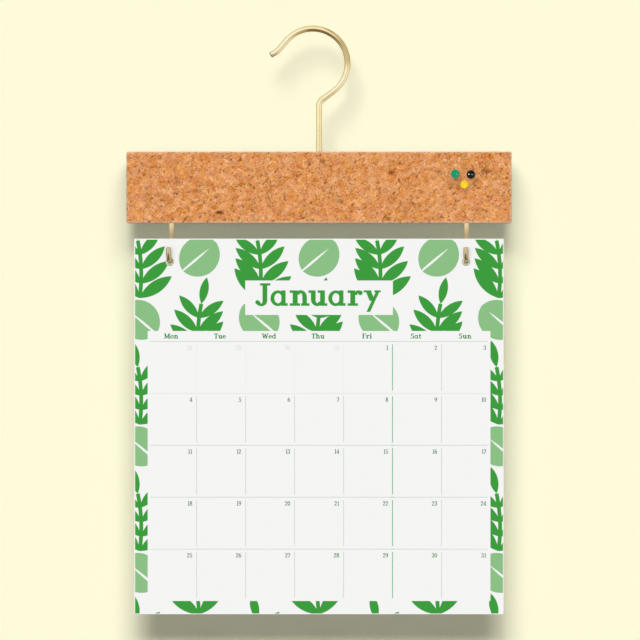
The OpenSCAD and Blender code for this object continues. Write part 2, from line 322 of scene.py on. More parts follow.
neck_turn = math.radians(90) - NECK_SLOPE
neck_tangent = NECK_RADIUS * math.tan(neck_turn / 2)
hook = bend_wire("hanger_hook_wire", HOOK_WIRE, [
    (HOOK_IN_BAR - POINT_LENGTH + NECK_HEIGHT - neck_tangent,),
    (NECK_RADIUS, neck_turn),
    (SLANT - neck_tangent,),
    (BOWL_RADIUS, -(neck_turn + BOWL_END)),
    (LEAD,),
    (TIP_RADIUS, TIP_TURN),
    (TIP,)], heading=0, end_finish=cut_steel_shaded)
settle(hook, (0, 0, bar_high.z - HOOK_IN_BAR))
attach(hook, "hook")
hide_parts("hanger_hook")

# %% [markdown]
# ## The J hooks
# Each J hook is a screwed-in shank with a half-round bend that opens to the front. Both were stopped
# at slightly different turns when they were screwed in, which is why their tips don't point quite
# straight ahead.

# %% J hooks
CUP_WIRE = 2.8 * MM
CUP_IN_BAR = 13 * MM
CUP_RADIUS = 5 * MM
CUP_TIP = 2.9 * MM
CUP_TURNS = {"left": math.radians(-9), "right": math.radians(-3)}
bend_z = joint_at["page_swing"].z

for side_name, turn in CUP_TURNS.items():
    cup = bend_wire(f"{side_name}_cup_hook_wire", CUP_WIRE, [
        (CUP_IN_BAR - POINT_LENGTH + bar_low.z - bend_z,),
        (CUP_RADIUS, math.radians(-180)),
        (CUP_TIP,)], heading=math.pi, end_finish=brass)
    shank_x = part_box(f"{side_name}_cup_hook")[1].x - CUP_WIRE / 2
    settle(cup, (shank_x, 0, bar_low.z + CUP_IN_BAR), turn - math.radians(90))
    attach(cup, "bar")
    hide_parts(f"{side_name}_cup_hook")

# %% [markdown]
# ## The cork bar
# The bar is sawn from a block of agglomerated cork: granules of bark pressed together with a binder.
# Its edges crumble a little and small pits show where granules were torn out. A box is bevelled and
# remeshed to an even skin of small faces, the holes for the wires and pins are drilled with a Boolean,
# and a Displace modifier sinks pits from a cloud texture. Its middle level is 1, so it only cuts inwards
# and the bar keeps its size. Two numbers stay with every point for the finish: how dark it is, from a
# painted shade in a pit or from a dark patch, and how much paler it is near a sawn edge, from fresh cork
# and a painted highlight.

# %% Cork bar
ARRIS = 0.5 * MM
ARRIS_STEPS = 2
SAWN_EDGE = 1.0 * MM
SKIN = 0.65 * MM
PIT_DEPTH = 0.35 * MM
PIT_SIZE = 1.5 * MM
PIT_DETAIL = 2
PIT_SPAN = (0.24, 0.34)
BORE_SIDES = 32
SWIVEL_BORE = HOOK_WIRE + 0.1 * MM
SEAT_PLAY = 0.06 * MM
BORE_END = 0.3 * MM
OVERCUT = 1 * MM
PIN_COLOURS = ("green", "black", "yellow")
# The x and z of each dark patch from the bar's middle, its half width and height in mm, and how dark it
# is.
DARK_PATCHES = [(-56.6, -14.3, 2, 1, 1.3), (-80.5, 2.8, 2.2, 1.5, 0.7), (-70.3, -1.8, 2.4, 1.2, 0.6),
          (2, 14.7, 1.8, 1.3, 0.8), (41.2, 8.4, 1.6, 1.2, 1), (69.1, 8.4, 2.2, 1.6, 0.6),
          (95.2, 9, 3, 1.3, 0.8), (12.2, -8, 2.4, 1, 0.6), (75.9, 1.6, 2.4, 1.2, 0.6),
          (89, 3.3, 2, 1.8, 0.5), (39.5, -17.7, 1.2, 1, 0.8), (49.2, -13.2, 1.8, 1.6, 0.5)]
# A patch is darkest at its middle, fades with every half size away from it, and has a ragged rim.
PATCH_MIDDLE = 1.6
PATCH_FADE = 1.1
PATCH_RIM = 0.3
PATCH_REACH = 1.5
# How much paler the edges of each end, the top and the underside are: fresh cork, and a painted highlight
# where the edge catches the light, strongest along the underside.
FRESH_AND_HIGHLIGHT = {"left": 0.35, "right": 0.9, "top": 0.75, "bottom": 1}


def apply_modifier(piece, kind, **settings):
    """Add a modifier with its settings to a piece and apply it at once."""
    bpy.context.view_layer.objects.active = piece
    modifier = piece.modifiers.new(kind.lower(), kind)
    for name, value in settings.items():
        setattr(modifier, name, value)
    bpy.ops.object.modifier_apply(modifier=modifier.name)


def drill(piece, bores):
    """Cut round bores, each a (diameter, start, end), out of a piece."""
    bpy.ops.object.select_all(action="DESELECT")
    bits = []
    for diameter, start, end in bores:
        along = end - start
        bpy.ops.mesh.primitive_cylinder_add(vertices=BORE_SIDES, radius=diameter / 2, depth=along.length,
                                            location=(start + end) / 2,
                                            rotation=along.to_track_quat("Z", "Y").to_euler())
        bits.append(bpy.context.object)
    for bit in bits:
        bit.select_set(True)
    bpy.ops.object.join()
    cutter = bpy.context.object
    apply_modifier(piece, "BOOLEAN", operation="DIFFERENCE", object=cutter, solver="MANIFOLD")
    bpy.data.objects.remove(cutter)
    piece.data.materials.clear()


bpy.ops.object.select_all(action="DESELECT")
bpy.ops.mesh.primitive_cube_add(size=1, location=bar_middle, scale=bar_high - bar_low)
cork = bpy.context.object
cork.name = cork.data.name = "cork_block"
bpy.ops.object.transform_apply(location=True, rotation=True, scale=True)
start_editing(cork)
bpy.ops.mesh.bevel(offset=ARRIS, segments=ARRIS_STEPS)
bpy.ops.object.mode_set(mode="OBJECT")
apply_modifier(cork, "REMESH", mode="VOXEL", voxel_size=SKIN, use_smooth_shade=True)

bores = [(SWIVEL_BORE, Vector((0, 0, bar_high.z - HOOK_IN_BAR - BORE_END)),
          Vector((0, 0, bar_high.z + OVERCUT)))]
for side_name in ("left", "right"):
    shank_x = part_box(f"{side_name}_cup_hook")[1].x - CUP_WIRE / 2
    bores.append((CUP_WIRE + SEAT_PLAY, Vector((shank_x, 0, bar_low.z - OVERCUT)),
                  Vector((shank_x, 0, bar_low.z + CUP_IN_BAR + BORE_END))))
for colour in PIN_COLOURS:
    low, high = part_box(f"{colour}_pin_needle")
    middle = (low + high) / 2
    bores.append((high.x - low.x + SEAT_PLAY, Vector((middle.x, bar_low.y - OVERCUT, middle.z)),
                  Vector((middle.x, high.y + BORE_END, middle.z))))
drill(cork, bores)

before = [vertex.co.copy() for vertex in cork.data.vertices]
pits = bpy.data.textures.new("torn granules", "CLOUDS")
pits.noise_scale = PIT_SIZE
pits.noise_depth = PIT_DETAIL
pits.use_color_ramp = True
for stop, position, level in zip(pits.color_ramp.elements, PIT_SPAN, (0, 1)):
    stop.position = position
    stop.color = (level, level, level, 1)
apply_modifier(cork, "DISPLACE", texture=pits, texture_coords="LOCAL", strength=PIT_DEPTH, mid_level=1)
dark_spots = cork.data.attributes.new("dark_spots", "FLOAT", "POINT")
edge = cork.data.attributes.new("edge", "FLOAT", "POINT")
half = (bar_high - bar_low) / 2
random.seed(5)
for vertex, start in zip(cork.data.vertices, before):
    from_middle = vertex.co - bar_middle
    # Painted shade: the deeper a pit, the darker its colour.
    dark = (vertex.co - start).length / PIT_DEPTH
    for x, z, wide, tall, strength in DARK_PATCHES:
        away = math.hypot((from_middle.x / MM - x) / wide, (from_middle.z / MM - z) / tall)
        if from_middle.y < 0 and away < PATCH_REACH:
            cover = PATCH_MIDDLE - PATCH_FADE * away + random.uniform(-PATCH_RIM, PATCH_RIM)
            dark = max(dark, strength * min(1, cover))
    dark_spots.data[vertex.index].value = dark
    inside = [half[axis] - abs(from_middle[axis]) for axis in range(3)]
    fresh_and_highlight = FRESH_AND_HIGHLIGHT["right" if from_middle.x > 0 else "left"]
    if inside[2] < inside[0]:
        fresh_and_highlight = FRESH_AND_HIGHLIGHT["top" if from_middle.z > 0 else "bottom"]
    # Paler edges: fresh sawn cork, and a painted highlight along the arris.
    edge.data[vertex.index].value = fresh_and_highlight * max(0, 1 - sorted(inside)[1] / SAWN_EDGE)
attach(cork, "bar")
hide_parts("cork_bar")
print("cork", len(cork.data.polygons), "faces,", sum(d.value > 0.5 for d in dark_spots.data), "dark points")

# %% [markdown]
# ## Cork
# Each granule is a scrap of bark with its own tone, from honey to orange brown, and the borders between
# them are ragged and in loose patches darker. Two Voronoi textures give the large granules and the crumbs
# that fill between them: their random cell colour picks a tone and a hue. A noise bends their straight
# borders, sparse dark flecks of outer bark come from a third Voronoi texture, the pits get a painted
# shade and the dark patches are added. Along the sawn edges the cork is paler: fresh cork, and a painted
# highlight where the edges catch the light.

# %% Cork finish
GRANULE = 2.5 * MM
CRUMB = 0.68 * MM
FLECK = 1.75 * MM
FLECK_CELLS = 0.45
FLECK_SIZES = (0.06, 0.3)
FLECK_CORE = 0.55
RAGGED = 0.6 * MM
RAGGED_SHIFT = 1.6 * RAGGED
CLUSTER = 5 * MM
LOOSE_SPAN = (0.5, 0.75)
CRUMB_SHARE = 0.6
HUE_DRIFT = (0.494, 0.506)
DEPTH_DRIFT = (1.06, 0.94)
DARK_COVER = 0.8
CORK_TONES = [(0.08, "#C0793E"), (0.3, "#D78D53"), (0.5, "#E19A60"), (0.75, "#EBA56B"), (0.95, "#FFC086")]
FRESH_CORK_HIGHLIGHT = "#F6DCC3"
BARK_AND_PIT_SHADE = "#723300"


def cork_finish():
    """Sanded agglomerated cork: matt, warm, mottled by granules, crumbs and bark flecks."""
    material, tree, shader = new_finish("sanded agglomerated cork")
    place = add_node(tree, "ShaderNodeTexCoord").outputs["Object"]
    noise = add_node(tree, "ShaderNodeTexNoise", {"Vector": place, "Scale": 1 / RAGGED, "Detail": 3})
    shift = add_node(tree, "ShaderNodeVectorMath", {0: noise.outputs["Color"], 1: [0.5] * 3},
                     operation="SUBTRACT")
    ragged = add_node(tree, "ShaderNodeVectorMath", {0: shift.outputs[0], 1: [RAGGED_SHIFT] * 3, 2: place},
                      operation="MULTIPLY_ADD").outputs[0]
    granules = add_node(tree, "ShaderNodeTexVoronoi", {"Vector": ragged, "Scale": 1 / GRANULE})
    crumbs = add_node(tree, "ShaderNodeTexVoronoi", {"Vector": ragged, "Scale": 1 / CRUMB})
    granule_tone = add_node(tree, "ShaderNodeSeparateColor", {0: granules.outputs["Color"]})
    crumb_tone = add_node(tree, "ShaderNodeSeparateColor", {0: crumbs.outputs["Color"]})
    pick = add_node(tree, "ShaderNodeMix", {0: CRUMB_SHARE, 2: granule_tone.outputs[0],
                                            3: crumb_tone.outputs[0]})
    tone = add_node(tree, "ShaderNodeValToRGB", {"Fac": pick.outputs[0]}, stops=CORK_TONES)
    hue = add_node(tree, "ShaderNodeMapRange", {"Value": granule_tone.outputs[1], "To Min": HUE_DRIFT[0],
                                                "To Max": HUE_DRIFT[1]})
    depth = add_node(tree, "ShaderNodeMapRange", {"Value": granule_tone.outputs[2], "To Min": DEPTH_DRIFT[0],
                                                  "To Max": DEPTH_DRIFT[1]})
    grains = add_node(tree, "ShaderNodeHueSaturation", {"Color": tone.outputs[0], "Hue": hue.outputs[0],
                                                        "Saturation": depth.outputs[0]})
    dark_spots = add_node(tree, "ShaderNodeTexVoronoi", {"Vector": ragged, "Scale": 1 / FLECK})
    kind = add_node(tree, "ShaderNodeSeparateColor", {0: dark_spots.outputs["Color"]})
    size = add_node(tree, "ShaderNodeMapRange", {"Value": kind.outputs[0], "From Min": FLECK_CELLS,
                                                 "To Min": FLECK_SIZES[0], "To Max": FLECK_SIZES[1]})
    core = add_node(tree, "ShaderNodeMath", {0: size.outputs[0], 1: FLECK_CORE}, operation="MULTIPLY")
    flecks = add_node(tree, "ShaderNodeMapRange", {"Value": dark_spots.outputs["Distance"],
                                                   "From Min": size.outputs[0], "From Max": core.outputs[0]})
    borders = add_node(tree, "ShaderNodeTexVoronoi", {"Vector": ragged, "Scale": 1 / GRANULE},
                       feature="DISTANCE_TO_EDGE")
    seams = add_node(tree, "ShaderNodeValToRGB", {"Fac": borders.outputs[0]},
                     stops=[(0.02, "#FFFFFF"), (0.07, "#000000")])
    patches = add_node(tree, "ShaderNodeTexNoise", {"Vector": place, "Scale": 1 / CLUSTER, "Detail": 2})
    loose = add_node(tree, "ShaderNodeMapRange", {"Value": patches.outputs[0], "From Min": LOOSE_SPAN[0],
                                                  "From Max": LOOSE_SPAN[1]})
    gaps = add_node(tree, "ShaderNodeMath", {0: seams.outputs[0], 1: loose.outputs[0]}, operation="MULTIPLY")
    pit_shade_and_patches = add_node(tree, "ShaderNodeAttribute", attribute_name="dark_spots")
    # Painted shade in the pits, with the dark patches, darkens the cork towards bark brown.
    torn = add_node(tree, "ShaderNodeMath", {0: flecks.outputs[0], 1: pit_shade_and_patches.outputs["Fac"]},
                    operation="MAXIMUM")
    dark = add_node(tree, "ShaderNodeMath", {0: torn.outputs[0], 1: gaps.outputs[0]}, operation="MAXIMUM")
    fade = add_node(tree, "ShaderNodeMath", {0: dark.outputs[0], 1: DARK_COVER}, operation="MULTIPLY")
    edge = add_node(tree, "ShaderNodeAttribute", attribute_name="edge")
    # Paler edges: fresh cork and a painted highlight.
    sawn_and_highlit = add_node(tree, "ShaderNodeMix", {0: edge.outputs["Fac"], 6: grains.outputs[0],
                                            7: linear(FRESH_CORK_HIGHLIGHT)}, data_type="RGBA")
    darkened = add_node(tree, "ShaderNodeMix", {0: fade.outputs[0], 6: sawn_and_highlit.outputs[2], 7: linear(BARK_AND_PIT_SHADE)},
                      data_type="RGBA")
    relief = add_node(tree, "ShaderNodeBump", {"Height": pick.outputs[0], "Strength": 0.25,
                                               "Distance": 0.3 * MM})
    tree.links.new(darkened.outputs[2], shader.inputs["Base Color"])
    tree.links.new(relief.outputs[0], shader.inputs["Normal"])
    shader.inputs["Roughness"].default_value = 0.85
    shader.inputs["Specular IOR Level"].default_value = 0.1
    return material


cork.data.materials.append(cork_finish())
print("cork granules of", round(GRANULE / MM, 2), "mm with crumbs of", round(CRUMB / MM, 2), "mm")

# %% [markdown]
# ## The month sheets
# A cover and twelve months, each a trimmed sheet of card with two punched holes, hang one behind the
# other. One sheet is a thin box with its holes drilled, and the rest are copies. No stack is perfectly
# square, so each copy slips a fraction of a millimetre, and a breath of air between them lets the edges
# show as lines from the side. The front sheet stays where the print lies on it.

# %% Month sheets
SHEETS = 13
AIR = 0.03 * MM
SLIP = 0.22 * MM

random.seed(12)
pitch = (page_high.y - page_low.y) / SHEETS
punched = [vertex.co for vertex in frame["nodes"]["calendar_pages"].data.vertices
           if page_low.x + MM < vertex.co.x < page_high.x - MM]
holes = []
for sign in (-1, 1):
    rim = [point for point in punched if point.x * sign > 0]
    low_x, high_x = min(p.x for p in rim), max(p.x for p in rim)
    low_z, high_z = min(p.z for p in rim), max(p.z for p in rim)
    centre = Vector(((low_x + high_x) / 2, page_low.y, (low_z + high_z) / 2))
    holes.append((high_x - low_x, centre - Vector((0, OVERCUT, 0)), centre + Vector((0, OVERCUT, 0))))

bpy.ops.object.select_all(action="DESELECT")
sheet_middle = (page_low + page_high) / 2
sheet_middle.y = page_low.y + (pitch - AIR) / 2
bpy.ops.mesh.primitive_cube_add(size=1, location=sheet_middle,
                                scale=(page_high.x - page_low.x, pitch - AIR, page_high.z - page_low.z))
sheets = bpy.context.object
sheets.name = sheets.data.name = "month_sheets"
bpy.ops.object.transform_apply(location=True, rotation=True, scale=True)
drill(sheets, holes)
copies = []
for number in range(1, SHEETS):
    copy = bpy.data.objects.new(f"sheet {number}", sheets.data.copy())
    bpy.context.scene.collection.objects.link(copy)
    copy.location = (random.uniform(-SLIP, SLIP), number * pitch, random.uniform(0, SLIP))
    copies.append(copy)
bpy.ops.object.select_all(action="DESELECT")
for piece in [sheets, *copies]:
    piece.select_set(True)
bpy.context.view_layer.objects.active = sheets
bpy.ops.object.join()
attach(sheets, "pages")
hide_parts("calendar_pages")
print("sheets", SHEETS, "hole", round(holes[0][0] / MM, 2), "mm")

# %% [markdown]
# ## Card and ink
# The sheets are uncoated white card: matt, with a faint mottle where the fibres clump. The inks soak
# into it, so they are as matt as the card and pick up the same mottle. One function makes both, because
# they differ in colour only. The mottle of real card is finer than a pixel here, so it is drawn coarser.

# %% Card and ink finishes
FLOCK = 0.9 * MM
TOOTH = 0.05 * MM
CARD = "#F5F5F4"


def paper_finish(name, hex_code, mottle, areas=()):
    """Matt card or ink on card, lightened and darkened by a mottle; areas are printed in another tint.

    An area is a hex colour, its middle and its half size, both as (x, z).
    """
    material, tree, shader = new_finish(name)
    place = add_node(tree, "ShaderNodeTexCoord").outputs["Object"]
    axes = add_node(tree, "ShaderNodeSeparateXYZ", {0: place})
    tint = linear(hex_code)
    for area_code, middle, half in areas:
        across = add_node(tree, "ShaderNodeMath", {0: axes.outputs["X"], 1: middle[0], 2: half[0]},
                          operation="COMPARE")
        up = add_node(tree, "ShaderNodeMath", {0: axes.outputs["Z"], 1: middle[1], 2: half[1]},
                      operation="COMPARE")
        inside = add_node(tree, "ShaderNodeMath", {0: across.outputs[0], 1: up.outputs[0]},
                          operation="MULTIPLY")
        tint = add_node(tree, "ShaderNodeMix", {0: inside.outputs[0], 6: tint, 7: linear(area_code)},
                        data_type="RGBA").outputs[2]
    flocks = add_node(tree, "ShaderNodeTexNoise", {"Vector": place, "Scale": 1 / FLOCK, "Detail": 4,
                                                   "Roughness": 0.6})
    change = add_node(tree, "ShaderNodeMapRange", {"Value": flocks.outputs[0], **NOISE_SPAN,
                                                   "To Min": 1 - mottle, "To Max": 1 + mottle})
    colour = add_node(tree, "ShaderNodeHueSaturation", {"Color": tint, "Value": change.outputs[0]})
    tooth = add_node(tree, "ShaderNodeBump", {"Height": flocks.outputs[0], "Strength": 0.08,
                                              "Distance": TOOTH})
    tree.links.new(colour.outputs[0], shader.inputs["Base Color"])
    tree.links.new(tooth.outputs[0], shader.inputs["Normal"])
    shader.inputs["Roughness"].default_value = 0.8
    shader.inputs["Specular IOR Level"].default_value = 0.2
    return material


PANEL_WIDTH = 195 * MM
FIRST_RULE = 58.3 * MM
ROW = 29.52 * MM
DAYS = 7
WEEKS = 5

column = PANEL_WIDTH / DAYS
grid_top = page_high.z - FIRST_RULE
# The rule before the weekend is greener. The uprights of the first week, on its days of the month before,
# hardly show, and the rule below that week is pale.
weekend_rule = ("#84BC92", (1.5 * column, grid_top - WEEKS * ROW / 2), (MM, WEEKS * ROW / 2))
pale_uprights = ("#F1F2F0", (-1.25 * column, grid_top - ROW / 2), (2.25 * column, ROW / 2 - MM))
pale_rule = ("#E6E9E6", (0, grid_top - ROW), (PANEL_WIDTH / 2, MM))
dark_green = paper_finish("dark green ink", "#3A9B3B", mottle=0.04)
sheets.data.materials.append(paper_finish("uncoated white card", CARD, mottle=0.006))
pale_green = paper_finish("pale green ink", "#8BC085", mottle=0.03)
rule_ink = paper_finish("grey green rule ink", "#C9D6CA", mottle=0.03,
                        areas=[weekend_rule, pale_uprights, pale_rule])
printed = {"leaf_print": dark_green, "broad_leaf_print": pale_green, "grid_print": rule_ink}
for node_name, ink in printed.items():
    mesh = frame["nodes"][node_name].data
    mesh.materials.clear()
    mesh.materials.append(ink)
print("inks on", list(printed))

# %% [markdown]
# ## Lettering
# The month, the weekdays and the day numbers are printed in a slab-serif letter: even upright stems
# with flat bars as feet. Every letter is drawn on a grid where a capital is 10 high, from four strokes:
# a level or upright bar, a slanting bar, a part of an oval ring, and a dot. The strokes of a letter are
# extruded as thick as the ink and merged into one closed shape with a Boolean.

# %% Letter shapes
# A stroke of 4 numbers is a bar between two corners, of 5 a slanting bar from one point to another with
# its level width, of 8 a ring's centre, two radii, thickness at its sides and at its top, and the angles
# it runs between, and of 3 a dot's centre and radius. The first number of a letter is its advance.
CAP = 10
LETTERS = {
    "J": (6.7, [(2.1, 9, 6.7, 10), (3.2, 2.3, 5.3, 10), (2.65, 2.3, 2.65, 2.5, 2.1, 1.15, 195, 360),
                (0.95, 1.55, 0.95)]),
    "M": (12, [(0, 8.9, 2.6, 10), (9.2, 8.9, 11.8, 10), (0, 0, 3.6, 1.1), (7.3, 0, 11.8, 1.1),
               (1.1, 0, 2.4, 10), (8.4, 0, 10.6, 10), (1.7, 10, 5.6, 1, 2.2), (5.6, 1, 9.3, 10, 1.4)]),
    "T": (8.2, [(0, 8.9, 7.9, 10), (0, 7.3, 0.9, 10), (7, 7.3, 7.9, 10), (2.9, 0, 5, 10),
                (1.8, 0, 6.1, 1.1)]),
    "W": (13.2, [(0, 8.9, 3.4, 10), (9.8, 8.9, 13, 10), (1.5, 10, 4, 0, 2.1), (4, 0, 6.4, 9.4, 1.4),
                 (6.4, 9.4, 8.9, 0, 2.1), (8.9, 0, 11.4, 10, 1.4)]),
    "F": (7.9, [(0.2, 9, 7.6, 10), (6.7, 7.2, 7.6, 10), (1.2, 0, 3.4, 10), (3, 4.8, 6, 5.7),
                (0.2, 0, 4.6, 1.1)]),
    "S": (7.6, [(3.7, 7.4, 3.1, 2.75, 1.8, 1, 35, 270), (3.6, 2.7, 3.4, 2.85, 1.9, 1, -145, 90),
                (5.8, 7.3, 6.6, 10), (0.4, 0, 1.2, 2.8)]),
    "a": (8.5, [(3.4, 3.35, 3.4, 3.5, 1.75, 1.25, 0, 360), (4.85, 0, 6.75, 6.85), (6, 0, 7.7, 1.15)]),
    "d": (8.3, [(3.4, 3.35, 3.4, 3.5, 1.75, 1.25, 0, 360), (4.85, 0, 6.75, 10), (3.6, 8.9, 5, 10),
                (6, 0, 7.7, 1.15)]),
    "e": (7, [(3.3, 3.35, 3.3, 3.5, 1.9, 1.2, 0, 318), (1.4, 3, 6.55, 3.8)]),
    "h": (9.1, [(0.1, 8.9, 2, 10), (1.4, 0, 3.6, 10), (0.1, 0, 4.7, 1.1),
                (4.95, 4, 2.75, 2.95, 2, 1.35, 0, 150), (5.7, 0, 7.7, 4.05), (5.1, 0, 8.9, 1.1)]),
    "i": (4.8, [(0.1, 5.75, 2, 6.85), (1.2, 0, 3.4, 6.85), (0.1, 0, 4.5, 1.1), (2.3, 8.9, 1.2)]),
    "n": (8.4, [(0.1, 5.75, 2, 6.85), (1.4, 0, 3.6, 6.85), (0.1, 0, 4.7, 1.1),
                (4.95, 4, 2.75, 2.95, 2, 1.35, 0, 150), (5.7, 0, 7.7, 4.05), (5.1, 0, 8.9, 1.1)]),
    "o": (7.2, [(3.4, 3.35, 3.4, 3.5, 1.9, 1.2, 0, 360)]),
    "r": (7.2, [(0.1, 5.75, 2, 6.85), (1.3, 0, 3.5, 6.85), (0.1, 0, 4.7, 1.1),
                (4.9, 4.5, 2, 2.4, 1.5, 1.1, 50, 170), (5.75, 5.75, 1.05)]),
    "t": (5.6, [(1.3, 1.9, 3.3, 8.6), (0.2, 5.75, 5, 6.85), (3.5, 2.0, 2.2, 2.15, 2, 1, 180, 330)]),
    "u": (8.8, [(0, 5.75, 2, 6.85), (1.1, 2.8, 3.2, 6.85), (3.95, 2.8, 2.85, 2.95, 2.05, 1.35, 180, 330),
                (5.2, 0, 7.3, 6.85), (4.1, 5.75, 5.6, 6.85), (6.6, 0, 8.4, 1.1)]),
    "y": (7.6, [(0, 6, 3.5, 6.85), (4.8, 6, 7.6, 6.85), (2.1, 6.6, 3.89, 2.2, 2.4),
                (6.4, 6.6, 2.1, -2.7, 1.6)]),
    "0": (6.4, [(3, 5, 3, 5.15, 1.6, 1.1, 0, 360)]),
    "1": (5.2, [(2.2, 0, 3.7, 10), (0.8, 0, 5, 1), (1.1, 8.4, 2.8, 9.4)]),
    "2": (6.3, [(1, 7.5, 0.85), (2.9, 7.1, 2.8, 3, 1.6, 1.1, -25, 165), (4.8, 6.3, 0.9, 0.7, 1.5),
                (0.2, 0, 5.7, 1)]),
    "3": (6.2, [(0.9, 8.1, 0.8), (0.8, 1.9, 0.85), (2.7, 7.4, 2.6, 2.75, 1.6, 1.1, -90, 155),
                (2.6, 2.7, 3, 2.85, 1.6, 1.1, -155, 90)]),
    "4": (6.5, [(4.2, 9.6, 0.6, 3, 1.2), (0, 2.4, 6.2, 3.3), (3.6, 0, 5.1, 10), (2.4, 0, 6.2, 1)]),
    "5": (6.2, [(1.1, 9, 5.4, 10), (1.1, 5, 2, 10), (2.6, 3.15, 3.1, 3.3, 1.6, 1.1, -155, 125)]),
    "6": (6.4, [(3.1, 3.15, 3, 3.3, 1.6, 1.1, 0, 360), (4.6, 3.6, 4.5, 6.4, 1.6, 1.1, 85, 180)]),
    "7": (6, [(0.2, 9, 5.8, 10), (0.2, 7.7, 1.1, 10), (5.1, 9.4, 2.2, 0, 1.6)]),
    "8": (6.4, [(3, 7.5, 2.5, 2.65, 1.6, 1.1, 0, 360), (3, 2.7, 3, 2.85, 1.6, 1.1, 0, 360)]),
    "9": (6.4, [(3, 6.85, 3, 3.3, 1.6, 1.1, 0, 360), (1.5, 6.4, 4.5, 6.4, 1.6, 1.1, -95, 0)]),
}
ARC_STEP = 15


def stroke_shape(stroke):
    """The points and faces of one stroke, flat on its grid."""
    if len(stroke) == 4:
        x0, y0, x1, y1 = stroke
        return [(x0, y0), (x1, y0), (x1, y1), (x0, y1)], [(0, 1, 2, 3)]
    if len(stroke) == 5:
        x0, y0, x1, y1, width = stroke
        half = width / 2
        return [(x0 - half, y0), (x0 + half, y0), (x1 + half, y1), (x1 - half, y1)], [(0, 1, 2, 3)]
    if len(stroke) == 3:
        x, y, radius = stroke
        angles = [math.radians(a) for a in range(0, 360, ARC_STEP)]
        return [(x + radius * math.cos(a), y + radius * math.sin(a)) for a in angles], [range(len(angles))]
    x, y, across, up, sides, top, start, end = stroke
    steps = round((end - start) / ARC_STEP)
    closed = end - start == 360
    points = []
    for step in range(steps if closed else steps + 1):
        angle = math.radians(start + (end - start) * step / steps)
        points.append((x + across * math.cos(angle), y + up * math.sin(angle)))
        points.append((x + (across - sides) * math.cos(angle), y + (up - top) * math.sin(angle)))
    count = len(points)
    return points, [(i, i + 1, (i + 3) % count, (i + 2) % count) for i in range(0, 2 * steps, 2)]


def cut_letter(character):
    """One letter as a closed shape, one unit of the grid being one metre, standing in the XZ plane."""
    points, faces = [], []
    for stroke in LETTERS[character][1]:
        shape, sides = stroke_shape(stroke)
        faces += [[len(points) + corner for corner in side] for side in sides]
        points += [(x, 0, z) for x, z in shape]
    mesh = bpy.data.meshes.new(f"letter {character}")
    mesh.from_pydata(points, [], faces)
    letter = bpy.data.objects.new(mesh.name, mesh)
    bpy.context.scene.collection.objects.link(letter)
    start_editing(letter)
    bpy.ops.mesh.extrude_region_move(TRANSFORM_OT_translate={"value": (0, -1, 0)})
    bpy.ops.mesh.select_all(action="SELECT")
    bpy.ops.mesh.normals_make_consistent(inside=False)
    bpy.ops.mesh.intersect_boolean(operation="UNION", use_self=True, solver="EXACT")
    bpy.ops.object.mode_set(mode="OBJECT")
    bpy.data.objects.remove(letter)
    return mesh


letters = {character: cut_letter(character) for character in LETTERS}
print(len(letters), "letters,", sum(len(mesh.polygons) for mesh in letters.values()), "faces")

# %% [markdown]
# ## Printing the words
# A line of type is copies of the letters side by side, scaled to their printed height. All lines of one
# ink become one piece that lies on the front sheet, and rides with it. The layout is measured from the
# middle of the sheet's top edge, as the ruled grid is.

# %% Words and numbers
INK = 0.08 * MM
TITLE_CAP = 12.8 * MM
TITLE_BASE = 38.0 * MM
TITLE_SHIFT = -0.6 * MM
NAME_CAP = 2.85 * MM
NAME_BASE = 56.6 * MM
NAME_SHIFT = -0.55 * MM
NUMBER_CAP = 2.45 * MM
NUMBER_DOWN = 2.3 * MM
NUMBER_IN = 2.4 * MM
LAST_MONTH_DAYS = 31
FIRST_COLUMN = 4
# The share of a line's width that lies to the left of its place.
CENTRED = 0.5
FLUSH_RIGHT = 1


def print_lines(name, lines, ink):
    """Print lines of (text, x, down, cap height, share to the left of x) as one piece."""
    prints = []
    for text, x, down, cap, share in lines:
        scale = cap / CAP
        left = x - share * scale * sum(LETTERS[character][0] for character in text)
        for character in text:
            printed_letter = bpy.data.objects.new(f"{name} {character}", letters[character].copy())
            bpy.context.scene.collection.objects.link(printed_letter)
            printed_letter.scale = (scale, INK, scale)
            printed_letter.location = (left, page_low.y, page_high.z - down)
            left += scale * LETTERS[character][0]
            prints.append(printed_letter)
    bpy.ops.object.select_all(action="DESELECT")
    for printed_letter in prints:
        printed_letter.select_set(True)
    bpy.context.view_layer.objects.active = prints[0]
    bpy.ops.object.join()
    piece = bpy.context.object
    piece.name = piece.data.name = name
    bpy.ops.object.transform_apply(location=True, rotation=True, scale=True)
    piece.data.materials.append(ink)
    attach(piece, "pages")
    print(name, len(prints), "letters", len(piece.data.polygons), "faces")
    return piece


title = [("January", TITLE_SHIFT, TITLE_BASE, TITLE_CAP, CENTRED)]
print_lines("month_name", title, dark_green)
names = [(text, (day + 0.5) * column - PANEL_WIDTH / 2 + NAME_SHIFT, NAME_BASE, NAME_CAP, CENTRED)
         for day, text in enumerate(("Mon", "Tue", "Wed", "Thu", "Fri", "Sat", "Sun"))]
name_ink = paper_finish("green type ink", "#06822A", mottle=0.03)
print_lines("weekday_names", names, name_ink)

